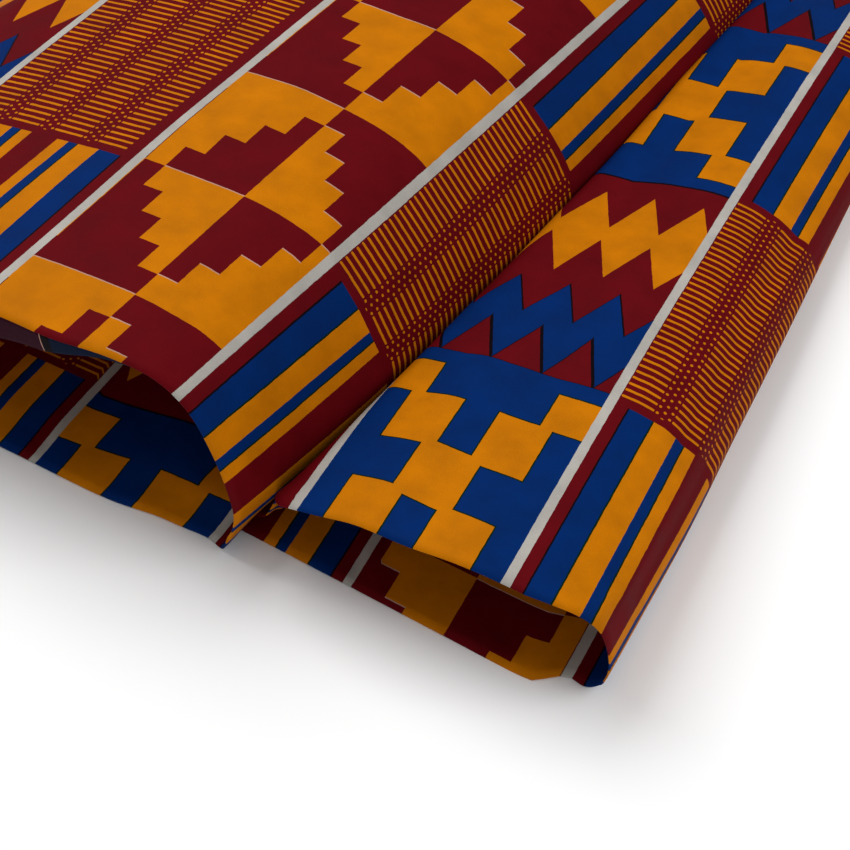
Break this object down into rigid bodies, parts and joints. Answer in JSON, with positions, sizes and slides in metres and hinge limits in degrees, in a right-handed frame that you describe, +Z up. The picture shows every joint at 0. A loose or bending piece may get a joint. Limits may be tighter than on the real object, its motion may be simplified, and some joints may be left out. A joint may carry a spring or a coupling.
{
  "type": "wax print fabric",
  "caption": "Length of printed cotton in kente blocks and stripes, folded to and fro into a high open roll over a lower one, lying with its cut ends to the front.",
  "frame": {"origin": "middle of the base, on the surface that the cloth lies on", "axes": "+Z up, the folds run along Y with the cut ends of the rolls to -Y, and the lower roll is on the +X side"},
  "size_m": [0.4048, 0.3965, 0.0812],
  "materials": {
    "printed_cotton": "wax printed cotton, matt with a faint gloss, deep red, golden yellow, blue and off-white"
  },
  "bodies": {
    "root": {"cloth": "printed_cotton"}
  },
  "joints": []
}
